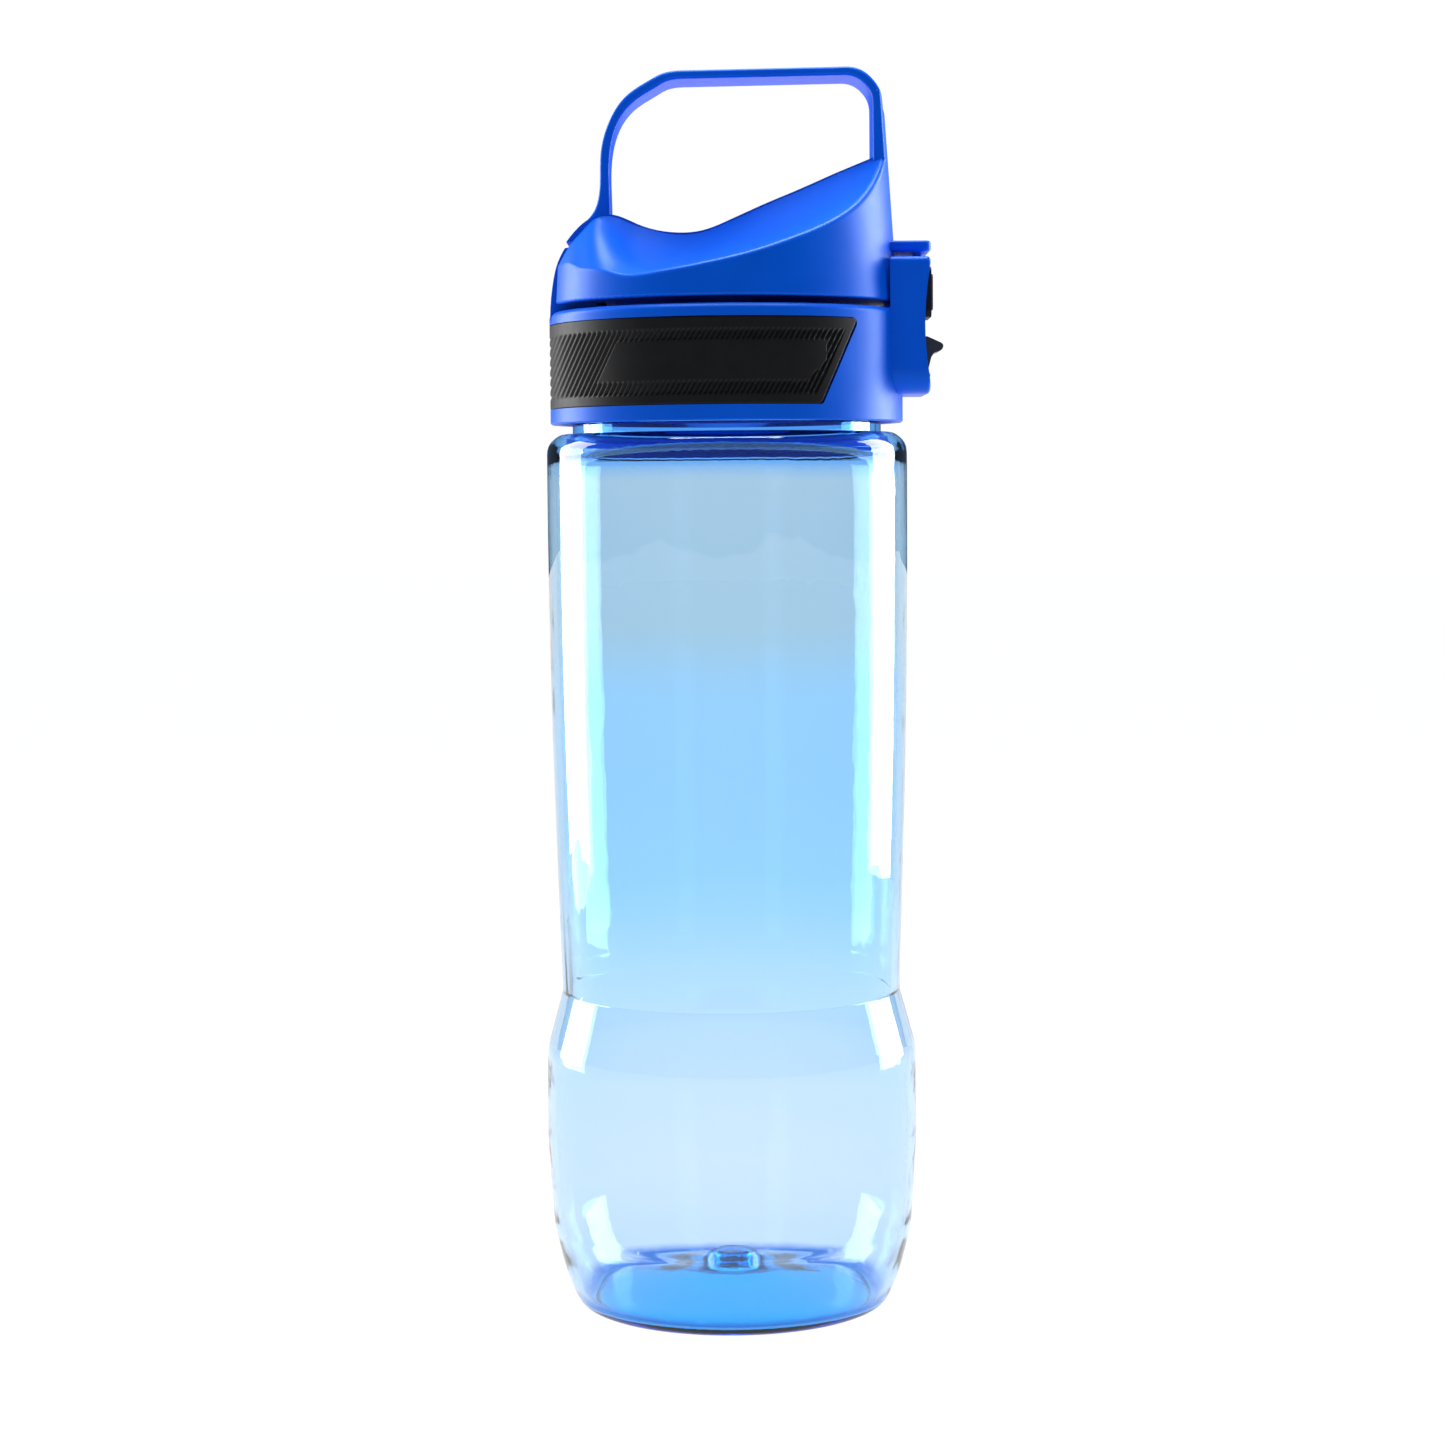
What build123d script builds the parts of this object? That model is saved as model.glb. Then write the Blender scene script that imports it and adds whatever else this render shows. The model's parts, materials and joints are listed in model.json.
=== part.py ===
"""Clear drinking bottle with a screw collar, a push-button flip lid and a fixed carry loop.

The origin is the centre of the foot ring, +Z runs up the bottle's axis and +X points at the latch.
Every sub-part is one node, written as its own STEP file. All sizes are in millimetres.
"""

from build123d import *
import os
from math import cos, hypot, radians, sin

os.makedirs("parts", exist_ok=True)

# ---------------------------------------------------------------- driving dimensions
# Bottle
wall = 1.8
base_wall = 1.6
foot_radius = 31.0
nub_height = 10.3
belly_radius = 39.3
belly_low, belly_high = 36.0, 48.0
waist_radius, waist_height = 35.8, 66.9
upper_radius = 37.75
shoulder_start, shoulder_height = 178.5, 184.2
neck_ring_radius, neck_ring_top = 32.3, 186.2
neck_core_radius, neck_bore_radius = 30.2, 28.0
mouth_height = 202.6

# Screw thread between the neck and the inner cap
thread_pitch = 4.0
thread_turns = 1.75
thread_depth = 1.3
thread_gap = 0.35
thread_start = 190.6

# Collar, deck and grip band
collar_radius = 36.9
collar_low, collar_high = 186.2, 209.4
cap_radius = 34.2
deck_low, deck_high = 204.2, 206.2
band_low, band_high = 189.3, 206.8
band_depth = 1.4
band_end_low, band_end_high = 19.3, 27.0

# Lid
lid_low = 210.9
lid_radius = 36.0
lid_draft = 0.067
lid_wall = 1.6
loop_top = 259.2
loop_ceiling = 256.95
loop_rise = 0.0145
loop_round = 0.6
rim_round = 1.0
spine_half = 7.3

# Hinge: the pin runs along Y behind the lid
hinge_x, hinge_z = -31.8, 217.4
pin_radius = 1.1
tower_half = 7.3
tower_reach = 6.0
lid_reach = 6.45
lug_half = 11.0

# Latch: housing on the collar, button, slider
housing_half = 14.4
housing_low, housing_high = 191.8, 219.8
housing_root, housing_face = 33.0, 42.05
housing_corner = 5.0
housing_roof = 1.4
lid_room = 36.65
face_hollow = 1.2
front_inside = 40.5
cavity_half = 12.4
window_half = 8.0
window_low, window_high = 207.5, 218.4
slot_half = 5.3
slot_low, slot_high = 195.0, 206.3
slide_inner, slide_outer = 37.9, 39.8

# Spout and vent
spout_x = 12.0
spout_radius, spout_bore = 8.0, 6.0
spout_top = 221.4
vent_x = -10.0


def lid_radius_at(height):
    """Outside radius of the drafted lid wall at a height."""
    return lid_radius - lid_draft * (height - lid_low)


def along(points, x):
    """Smooth curve through a few (x, value) points, read at one x."""
    last = len(points) - 1
    i = max(k for k in range(last) if k == 0 or points[k][0] <= x)
    slopes = []
    for k in (i, i + 1):
        a, b = points[max(k - 1, 0)], points[min(k + 1, last)]
        slopes.append((b[1] - a[1]) / (b[0] - a[0]))
    (x0, v0), (x1, v1) = points[i], points[i + 1]
    span = x1 - x0
    t = min(max((x - x0) / span, 0.0), 1.0)
    start = (1 + 2 * t) * (1 - t) ** 2 * v0 + t * (1 - t) ** 2 * span * slopes[0]
    return start + t * t * (3 - 2 * t) * v1 + t * t * (t - 1) * span * slopes[1]


# ---------------------------------------------------------------- bottle
with BuildPart() as bottle_body:
    with BuildSketch(Plane.XZ):
        with BuildLine():
            heel = Spline(
                (foot_radius, 0), (33.7, 2.4), (36.0, 8.2), (37.9, 16.2), (38.65, 25.0),
                tangents=((1, 0.1), (0.075, 1)),
            )
            belly = Spline(heel @ 1, (39.05, 32.0), (belly_radius, belly_low), tangents=(heel % 1, (0, 1)))
            land = Line(belly @ 1, (belly_radius, belly_high))
            brow = Spline(land @ 1, (39.15, 52.5), (38.75, 56.2), tangents=((0, 1), (-0.28, 1)))
            waist = Line(brow @ 1, (waist_radius, waist_height))
            trunk = Spline(
                waist @ 1, (36.15, 80.0), (36.95, 107.0), (37.5, 134.0), (upper_radius, shoulder_start),
                tangents=((0.02, 1), (0, 1)),
            )
            shoulder = Spline(
                trunk @ 1, (37.0, 182.4), (35.2, 183.9), (neck_ring_radius + 0.4, shoulder_height),
                tangents=((0, 1), (-1, 0)),
            )
            Polyline(
                shoulder @ 1,
                (neck_ring_radius, shoulder_height),
                (neck_ring_radius, neck_ring_top),
                (neck_core_radius, neck_ring_top + 0.8),
                (neck_core_radius, mouth_height),
                (neck_bore_radius, mouth_height),
                (neck_bore_radius, shoulder_height - 2.0),
            )
            inner_shoulder = Spline(
                (neck_bore_radius, shoulder_height - 2.0),
                (33.6, shoulder_height - 2.4),
                (upper_radius - wall, shoulder_start - 1.5),
                tangents=((1, 0), (0, -1)),
            )
            inner_trunk = Spline(
                inner_shoulder @ 1, (37.5 - wall, 134.0), (36.95 - wall, 107.0), (36.15 - wall, 80.0),
                (waist_radius - wall, waist_height), tangents=((0, -1), (-0.02, -1)),
            )
            inner_waist = Line(inner_trunk @ 1, (38.75 - wall, 56.0))
            inner_belly = Spline(
                inner_waist @ 1, (belly_radius - wall, 47.0), (belly_radius - wall, 36.0),
                (38.65 - wall, 25.0), (37.9 - wall, 16.4), (34.1, 8.9), (32.3, 3.9), (30.2, base_wall + 0.2),
                tangents=((0.28, -1), (-1, -0.1)),
            )
            dome = Spline(
                inner_belly @ 1, (28.2, 2.5), (26.5, 3.2), (15.0, 5.8), (6.8, 7.7),
                tangents=((-1, -0.1), (-1, 0.25)),
            )
            nub = Spline(dome @ 1, (5.6, 8.7), (3.9, nub_height), tangents=((-1, 0.25), (-1, 0)))
            Polyline(
                nub @ 1,
                (0, nub_height),
                (0, nub_height - base_wall),
                (3.2, nub_height - base_wall),
                (5.4, 6.3),
            )
            under = Spline(
                (5.4, 6.3), (15.0, 4.1), (26.0, 1.6), (foot_radius - 1.9, 0), tangents=((1, -0.1), (1, -1)),
            )
            Line(under @ 1, heel @ 0)
        make_face()
    revolve(axis=Axis.Z)


def thread_rib(core, depth, outward, turns, start):
    """Helical rib of trapezoid section, rooted a little inside the wall that carries it."""
    way = 1 if outward else -1
    root = core - way * 0.3
    crest = core + way * depth
    path = Helix(thread_pitch, thread_pitch * turns, core, center=(0, 0, start))
    with BuildPart() as rib:
        with BuildSketch(Plane(origin=(0, 0, start), x_dir=(1, 0, 0), z_dir=(0, -1, 0))):
            with BuildLine():
                Polyline((root, -1.15), (crest, -0.45), (crest, 0.45), (root, 1.15), close=True)
            make_face()
        sweep(path=path, is_frenet=True)
    return rib.part


neck_thread = thread_rib(neck_core_radius, thread_depth, True, thread_turns, thread_start)
with bottle_body:
    add(neck_thread)

bottle_body.part.label = "bottle_body"
export_step(bottle_body.part, "parts/bottle_body.step")

# ---------------------------------------------------------------- inner cap, gasket and valve
with BuildPart() as neck_gasket:
    with BuildSketch(Plane.XY.offset(mouth_height + 0.05)):
        Circle(31.2)
        Circle(neck_bore_radius + 0.2, mode=Mode.SUBTRACT)
    extrude(amount=deck_low - mouth_height - 0.05)

neck_gasket.part.label = "neck_gasket"
export_step(neck_gasket.part, "parts/neck_gasket.step")

cap_bore = neck_core_radius + thread_depth + thread_gap
cap_low = neck_ring_top + 1.0
cap_rib_depth = cap_bore - neck_core_radius - thread_gap
cap_thread = thread_rib(
    cap_bore, cap_rib_depth, False, thread_turns, thread_start + thread_pitch / 2,
)
with BuildPart() as inner_cap:
    with BuildSketch(Plane.XY.offset(cap_low)):
        Circle(cap_radius)
    extrude(amount=deck_high - cap_low)
    with BuildSketch(Plane.XY.offset(cap_low)):
        Circle(cap_bore)
    extrude(amount=deck_low - cap_low, mode=Mode.SUBTRACT)
    with Locations((spout_x, 0, deck_high)):
        Hole(radius=spout_radius - 1.0, depth=deck_high - deck_low)
    with Locations((vent_x, 0, deck_high)):
        Hole(radius=1.6, depth=deck_high - deck_low)
    with BuildSketch(Plane.XY.offset(deck_high)):
        with Locations((vent_x, 0)):
            Circle(4.2)
            Circle(3.2, mode=Mode.SUBTRACT)
    extrude(amount=2.0)
    add(cap_thread)

inner_cap.part.label = "inner_cap"
export_step(inner_cap.part, "parts/inner_cap.step")

spout_foot = deck_high - 1.2
with BuildPart() as drinking_spout:
    with BuildSketch(Plane(origin=(spout_x, 0, 0), x_dir=(1, 0, 0), z_dir=(0, -1, 0))):
        with BuildLine():
            lip = Spline(
                (spout_radius, deck_high + 1.6),
                (spout_radius - 0.5, deck_high + 8.0),
                (spout_radius - 0.4, spout_top - 2.0),
                (spout_radius - 1.1, spout_top),
                tangents=((0, 1), (-1, 0)),
            )
            Polyline(
                lip @ 1,
                (spout_bore + 0.3, spout_top),
                (spout_bore, spout_top - 0.6),
                (spout_bore, deck_low - 2.0),
                (spout_radius - 1.0, deck_low - 2.0),
                (spout_radius - 1.0, deck_high),
                (spout_radius + 1.4, deck_high),
                (spout_radius + 1.4, deck_high + 1.2),
                lip @ 0,
            )
        make_face()
    revolve(axis=Axis((spout_x, 0, 0), (0, 0, 1)))

drinking_spout.part.label = "drinking_spout"
export_step(drinking_spout.part, "parts/drinking_spout.step")

with BuildPart() as spout_o_ring:
    with BuildSketch(Plane(origin=(spout_x, 0, 0), x_dir=(1, 0, 0), z_dir=(0, -1, 0))):
        with Locations((spout_radius - 1.0 + 0.75, deck_low - 0.75)):
            Circle(0.75)
    revolve(axis=Axis((spout_x, 0, 0), (0, 0, 1)))

spout_o_ring.part.label = "spout_o_ring"
export_step(spout_o_ring.part, "parts/spout_o_ring.step")

with BuildPart() as vent_valve:
    with BuildSketch(Plane.XY.offset(deck_high)):
        with Locations((vent_x, 0)):
            Circle(3.1)
    extrude(amount=1.0)
    with BuildSketch(Plane.XY.offset(deck_high)):
        with Locations((vent_x, 0)):
            Circle(1.6)
    extrude(amount=deck_low - deck_high - 1.2)
    with BuildSketch(Plane.XY.offset(deck_low)):
        with Locations((vent_x, 0)):
            Circle(2.3)
    extrude(amount=-1.2)
    with Locations((vent_x, 0, deck_high + 1.0)):
        Hole(radius=0.5)
    fillet(vent_valve.edges().group_by(Axis.Z)[-1].sort_by(SortBy.LENGTH)[-1], 0.4)

vent_valve.part.label = "vent_valve"
export_step(vent_valve.part, "parts/vent_valve.step")

# ---------------------------------------------------------------- grip band
with BuildPart() as grip_band:
    with BuildSketch(Plane.XY.offset(band_low)):
        Circle(collar_radius)
        Circle(collar_radius - band_depth, mode=Mode.SUBTRACT)
    extrude(amount=band_high - band_low)
    with BuildSketch(Plane.XZ):
        with BuildLine():
            Polyline(
                (-50, band_low), (band_end_low, band_low), (band_end_high, band_high), (-50, band_high),
                close=True,
            )
        make_face()
        fillet(vertices().group_by(Axis.X)[-1], 1.2)
        fillet(vertices().filter_by_position(Axis.X, band_end_low - 1, band_end_low + 1), 0.8)
    extrude(amount=50, both=True, mode=Mode.INTERSECT)

grip_band.part.label = "grip_band"
export_step(grip_band.part, "parts/grip_band.step")

# ---------------------------------------------------------------- collar with hinge tower and latch housing
with BuildPart() as collar_shell:
    with BuildSketch(Plane.XZ):
        with BuildLine():
            wall_line = Polyline(
                (cap_radius, collar_low + 0.5),
                (cap_radius + 0.5, collar_low),
                (collar_radius - 0.3, collar_low),
                (collar_radius, collar_low + 0.3),
                (collar_radius, collar_high - 1.4),
            )
            rim = Spline(
                wall_line @ 1, (collar_radius - 0.5, collar_high - 0.35), (collar_radius - 1.4, collar_high),
                tangents=((0, 1), (-1, 0)),
            )
            Polyline(
                rim @ 1, (cap_radius + 0.4, collar_high), (cap_radius, collar_high - 0.4), wall_line @ 0,
            )
        make_face()
    revolve(axis=Axis.Z)
    # Latch housing: a box with rounded lower corners that leans on the collar
    with BuildSketch(Plane.YZ.offset(housing_root)):
        with Locations((0, (housing_low + housing_high) / 2)):
            Rectangle(2 * housing_half, housing_high - housing_low)
        fillet(vertices().group_by(Axis.Y)[0], housing_corner)
        fillet(vertices().group_by(Axis.Y)[-1], 1.2)
    extrude(amount=housing_face - housing_root)
    fillet(collar_shell.edges().filter_by_position(Axis.X, housing_face - 0.01, housing_face + 0.01), 0.8)
    # Room for the inner cap inside, and for the lid's swing above the rim
    with BuildSketch(Plane.XY.offset(collar_low - 1.0)):
        Circle(cap_radius)
    extrude(amount=collar_high - collar_low + 1.0, mode=Mode.SUBTRACT)
    with BuildSketch(Plane.XY.offset(collar_high)):
        Circle(lid_room)
    extrude(amount=housing_high - collar_high + 1.0, mode=Mode.SUBTRACT)
    # Hinge tower: its back follows the bottle's outline, its top is round about the pin
    with BuildSketch(Plane.XZ):
        with BuildLine():
            back = Spline(
                (-36.4, collar_high - 1.0), (-36.2, 211.8), (-35.7, 215.6), (-34.6, 219.8), (-33.2, 222.5),
                tangents=((0.02, 1), (0.6, 1)),
            )
            crown = RadiusArc(back @ 1, (hinge_x + 5.0, hinge_z + 2.8), tower_reach - 0.1)
            Polyline(
                crown @ 1, (hinge_x + 5.0, deck_high + 3.0), (hinge_x + 7.0, deck_high), (-36.0, deck_high),
                back @ 0,
            )
        make_face()
    extrude(amount=tower_half, both=True)
    # Concave front face
    with BuildSketch(Plane.XZ):
        with BuildLine():
            hollow = ThreePointArc(
                (housing_face, housing_low + 2.0),
                (housing_face - face_hollow, (housing_low + housing_high) / 2),
                (housing_face, housing_high - 1.4),
            )
            Line(hollow @ 1, hollow @ 0)
        make_face()
    extrude(amount=housing_half, both=True, mode=Mode.SUBTRACT)
    # Hollow for the button above the collar, and for the slider below
    with BuildSketch(Plane.XZ):
        with BuildLine():
            Polyline(
                (30.0, housing_high - housing_roof), (front_inside, housing_high - housing_roof),
                (front_inside, collar_high + 0.4),
                (30.0, collar_high + 0.4), close=True,
            )
        make_face()
    extrude(amount=cavity_half, both=True, mode=Mode.SUBTRACT)
    with BuildSketch(Plane.XZ):
        with BuildLine():
            Polyline(
                (slide_inner, collar_high + 1.0), (slide_outer, collar_high + 1.0), (slide_outer, slot_low),
                (slide_inner, slot_low), close=True,
            )
        make_face()
    extrude(amount=window_half, both=True, mode=Mode.SUBTRACT)
    # Button window, slider window and the slot for the lid's tongue
    with BuildSketch(Plane.YZ.offset(slide_outer - 0.2)):
        with Locations((0, (window_low + window_high) / 2)):
            RectangleRounded(2 * window_half, window_high - window_low, 1.6)
        with Locations((0, (slot_low + slot_high) / 2)):
            RectangleRounded(2 * slot_half, slot_high - slot_low, 0.8)
    extrude(amount=5.0, mode=Mode.SUBTRACT)
    with BuildSketch(Plane.XY.offset(housing_high - 2.0)):
        with Locations((39.7, 0)):
            Rectangle(3.2, 10.4)
    extrude(amount=4.0, mode=Mode.SUBTRACT)
    add(grip_band.part, mode=Mode.SUBTRACT)
    # Pin bore, spring pocket between the knuckles
    with BuildSketch(Plane.XZ):
        with Locations((hinge_x, hinge_z)):
            Circle(pin_radius)
    extrude(amount=tower_half + 1, both=True, mode=Mode.SUBTRACT)
    with BuildSketch(Plane.XZ):
        with Locations((hinge_x, hinge_z)):
            Circle(3.1)
        with Locations((hinge_x + 4.0, hinge_z + 0.6)):
            Rectangle(8.0, 5.0)
    extrude(amount=4.0, both=True, mode=Mode.SUBTRACT)

collar_shell.part.label = "collar_shell"
export_step(collar_shell.part, "parts/collar_shell.step")

with BuildPart() as hinge_pin:
    with BuildSketch(Plane.XZ):
        with Locations((hinge_x, hinge_z)):
            Circle(pin_radius)
    extrude(amount=lug_half - 0.4, both=True)
    chamfer(hinge_pin.edges().filter_by(GeomType.CIRCLE), 0.2)

hinge_pin.part.label = "hinge_pin"
export_step(hinge_pin.part, "parts/hinge_pin.step")

# Torsion spring: five turns round the pin, one leg on the tower and one towards the lid
spring_wire = 0.35
spring_coil = 1.75
spring_turns = 5
spring_pitch = 1.0
spring_start = -spring_turns * spring_pitch / 2
coil_path = Helix(
    spring_pitch, spring_turns * spring_pitch, spring_coil,
    center=(hinge_x, spring_start, hinge_z), direction=(0, 1, 0),
)
with BuildPart() as hinge_spring:
    with BuildSketch(Plane(origin=coil_path @ 0, z_dir=coil_path % 0)):
        Circle(spring_wire)
    sweep(path=coil_path, is_frenet=True)
    for end, way in ((0, -1), (1, 1)):
        with BuildSketch(Plane(origin=coil_path @ end, z_dir=(coil_path % end) * way)):
            Circle(spring_wire)
        extrude(amount=1.9)

hinge_spring.part.label = "hinge_spring"
export_step(hinge_spring.part, "parts/hinge_spring.step")

# ---------------------------------------------------------------- latch: retainer, spring, button, slider
retainer_low, retainer_high = collar_high + 0.5, 213.7
retainer_back, retainer_front = 36.8, 37.4
latch_spring_height = 211.7
latch_spring_wire = 0.2
latch_spring_radius = 1.45
latch_spring_pitch = 0.9
button_back, button_front = 41.0, 42.6
with BuildPart() as latch_retainer:
    with BuildSketch(Plane.YZ.offset(retainer_back)):
        with Locations((0, (retainer_low + retainer_high) / 2)):
            Rectangle(2 * cavity_half, retainer_high - retainer_low)
    extrude(amount=retainer_front - retainer_back)
    with BuildSketch(Plane.YZ.offset(retainer_front)):
        with Locations((0, latch_spring_height)):
            Circle(1.0)
    extrude(amount=1.2)

latch_retainer.part.label = "latch_retainer"
export_step(latch_retainer.part, "parts/latch_retainer.step")

latch_spring_start = retainer_front + 0.25
latch_spring_length = button_back + 1.1 - latch_spring_wire - 0.05 - latch_spring_start
latch_coil = Helix(
    latch_spring_pitch, latch_spring_length, latch_spring_radius,
    center=(latch_spring_start, 0, latch_spring_height), direction=(1, 0, 0),
)
with BuildPart() as latch_spring:
    with BuildSketch(Plane(origin=latch_coil @ 0, z_dir=latch_coil % 0)):
        Circle(latch_spring_wire)
    sweep(path=latch_coil, is_frenet=True)

latch_spring.part.label = "latch_spring"
export_step(latch_spring.part, "parts/latch_spring.step")

pad_gap = 0.3
pad_low, pad_high = window_low + pad_gap, window_high - pad_gap
pad_half = window_half - pad_gap
pad_middle = (pad_low + pad_high) / 2
with BuildPart() as latch_button:
    with BuildSketch(Plane.YZ.offset(button_back)):
        with Locations((0, pad_middle)):
            RectangleRounded(2 * pad_half, pad_high - pad_low, 1.4)
    extrude(amount=button_front - button_back)
    with BuildSketch(Plane.YZ.offset(button_front)):
        with Locations((0, pad_middle)):
            RectangleRounded(2 * pad_half - 2.4, pad_high - pad_low - 2.4, 1.0)
    extrude(amount=0.4, taper=40)
    with BuildSketch(Plane.YZ.offset(button_back)):
        with Locations((0, pad_low + 1.7)):
            Rectangle(10.8, pad_high - pad_low, align=(Align.CENTER, Align.MIN))
    extrude(amount=1.1, mode=Mode.SUBTRACT)

latch_button.part.label = "latch_button"
export_step(latch_button.part, "parts/latch_button.step")

hook_low, hook_high = 215.9, 218.1
hook_back = 37.5
arm_low = 213.9
with BuildPart() as latch_hook:
    with BuildSketch(Plane.YZ.offset(hook_back)):
        with Locations((0, (hook_low + hook_high) / 2)):
            Rectangle(14.8, hook_high - hook_low)
    extrude(amount=0.85)
    for side in (-1, 1):
        with BuildSketch(Plane.YZ.offset(hook_back)):
            with Locations((side * 6.5, (arm_low + hook_high) / 2)):
                Rectangle(1.8, hook_high - arm_low)
        extrude(amount=3.5)
        with BuildSketch(Plane.YZ.offset(hook_back + 1.4)):
            with Locations((side * 8.4, (arm_low + hook_high) / 2)):
                Rectangle(2.2, hook_high - arm_low)
        extrude(amount=1.3)

latch_hook.part.label = "latch_hook"
export_step(latch_hook.part, "parts/latch_hook.step")

plate_low, plate_high = 197.2, 203.9
lever_root = 39.3
carrier_low, carrier_high = plate_low - 0.8, 205.6
with BuildPart() as lock_slider:
    # Thumb lever that stands out of the slot
    with BuildSketch(Plane.XZ):
        with BuildLine():
            stem = Polyline((lever_root, plate_low), (42.1, plate_low), (42.7, 199.6), (43.3, 200.5))
            nose = Spline(
                stem @ 1, (45.0, 201.3), (45.2, 201.9), (44.3, 202.8), tangents=((1, 0.35), (-1, 0.4)),
            )
            Polyline(nose @ 1, (41.9, plate_high), (lever_root, plate_high), stem @ 0)
        make_face()
    extrude(amount=slot_half - 0.4, both=True)
    # Carrier plate behind the front wall, with two prongs that go up behind the button
    with BuildSketch(Plane.YZ.offset(slide_inner + 0.3)):
        with Locations((0, (carrier_low + carrier_high) / 2)):
            Rectangle(13.0, carrier_high - carrier_low)
        for side in (-1, 1):
            with Locations((side * 3.4, carrier_high + 0.8)):
                Rectangle(2.0, 2.0)
    extrude(amount=slide_outer - slide_inner - 0.6)

lock_slider.part.label = "lock_slider"
export_step(lock_slider.part, "parts/lock_slider.step")

marker_back, marker_front = 39.9, 41.7
marker_rise = 1.7
with BuildPart() as lock_marker:
    with BuildSketch(Plane.XZ):
        with BuildLine():
            foot = Line((marker_back, slot_low), (marker_front, slot_low))
            bead = ThreePointArc(
                foot @ 1,
                (marker_front + 0.8, slot_low + marker_rise / 2),
                (marker_front, slot_low + marker_rise),
            )
            Polyline(bead @ 1, (marker_back, slot_low + marker_rise), foot @ 0)
        make_face()
    extrude(amount=slot_half - 0.8, both=True)

lock_marker.part.label = "lock_marker"
export_step(lock_marker.part, "parts/lock_marker.step")

# ---------------------------------------------------------------- lid
# Height of the spine's crest, and of the scooped floor beside it, along the lid
crest_points = [
    (-38.0, 214.0), (-35.4, 219.0), (-34.3, 221.4), (-32.8, 223.9), (-31.0, 226.1), (-27.2, 228.9),
    (-23.2, 229.3), (-17.8, 227.2), (-10.9, 225.6), (-5.0, 225.9), (1.0, 228.1), (9.1, 231.65),
    (15.4, 234.2), (22.8, 237.4), (29.0, 239.9), (33.6, 241.7), (39.0, 243.2),
]
floor_points = [
    (-38.0, 214.6), (-34.0, 214.4), (-25.4, 214.4), (-15.0, 215.9), (-5.0, 217.5), (5.0, 219.8),
    (15.0, 223.4), (23.5, 227.4), (28.0, 229.9), (31.6, 233.0), (34.0, 237.0), (39.0, 241.5),
]
# How far the hollow reaches out from the spine
reach_points = [(-38.0, 17.0), (-26.0, 18.0), (-15.0, 22.0), (20.0, 22.0), (39.0, 22.0)]
# The hinge end rounds over like a shoulder, and the hollow grows out of it
shoulder_inner, shoulder_outer, shoulder_drop = 27.0, 43.0, 19.0
hollow_from, hollow_full = -35.0, -14.0


def ease(value, low, high):
    """Smooth step from 0 at low to 1 at high."""
    t = min(max((value - low) / (high - low), 0.0), 1.0)
    return t * t * (3 - 2 * t)


def shoulder_fall(distance):
    """How far the rounded shoulder has fallen at a distance from the bottle's axis."""
    return shoulder_drop * ease(distance, shoulder_inner, shoulder_outer)


def scoop_height(x, y, inset):
    """Height of the scooped top at a place on the lid, or of the same surface moved in by the wall."""
    low = along(floor_points, x)
    top = along(crest_points, x) - 0.4
    out = (y - (spine_half - inset)) / along(reach_points, x)
    hollow = low + (top - low) * max(1.0 - out, 0.0) ** 2
    shoulder = top - shoulder_fall(hypot(x, y) + 0.6 * inset) + shoulder_fall(abs(x))
    share = ease(x, hollow_from, hollow_full)
    return hollow * share + shoulder * (1 - share) - inset


def scoop_face(inset):
    """The scooped surface on the +Y side, from the spine out past the lid wall."""
    rows = []
    for i in range(37):
        x = -37.0 + 75.0 * i / 36
        across = [spine_half - inset + 2.0 * j for j in range(16)]
        rows.append([(x, y, scoop_height(x, y, inset)) for y in across])
    return Face.make_surface_from_array_of_points(rows, tol=0.02)


def lid_form(inset):
    """Outer form of the lid, or with an inset the hollow inside its wall, down to below its rim."""
    low = lid_low - (2.0 if inset else 0.0)
    with BuildPart() as form:
        extrude(scoop_face(inset), amount=60.0, dir=(0, 0, -1))
        mirror(about=Plane.XZ)
        with BuildSketch(Plane.XZ):
            with BuildLine():
                Polyline((-38.0, 200.0), (-38.0, along(crest_points, -38.0) - inset))
                top = Spline(*[(x, z - inset) for x, z in crest_points])
                Polyline(top @ 1, (39.0, 200.0), (-38.0, 200.0))
            make_face()
        extrude(amount=spine_half - inset, both=True)
        with BuildSketch(Plane.XZ):
            with BuildLine():
                Polyline(
                    (0, low), (lid_radius_at(low) - inset, low),
                    (lid_radius_at(low + 60) - inset, low + 60), (0, low + 60),
                    close=True,
                )
            make_face()
        revolve(axis=Axis.Z, mode=Mode.INTERSECT)
        if not inset:
            scoop_rims = form.edges().filter_by(lambda edge: min(edge.bounding_box().size) > 20)
            fillet(scoop_rims, rim_round)
            fillet(form.edges().group_by(Axis.Z)[0], 0.5)
    return form.part


loop_low = 222.0


def runs_along_loop(edge):
    """True for the long edges on the loop's two sides, above the lid's spine."""
    box = edge.bounding_box()
    middle = edge.center()
    on_one_side = box.min.Y * box.max.Y > 0 and box.size.Y < 3.0
    on_outside = abs(middle.Y) > spine_half - 0.1 and middle.Z > 232.0
    return on_one_side and on_outside and edge.length > 3.0


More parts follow.
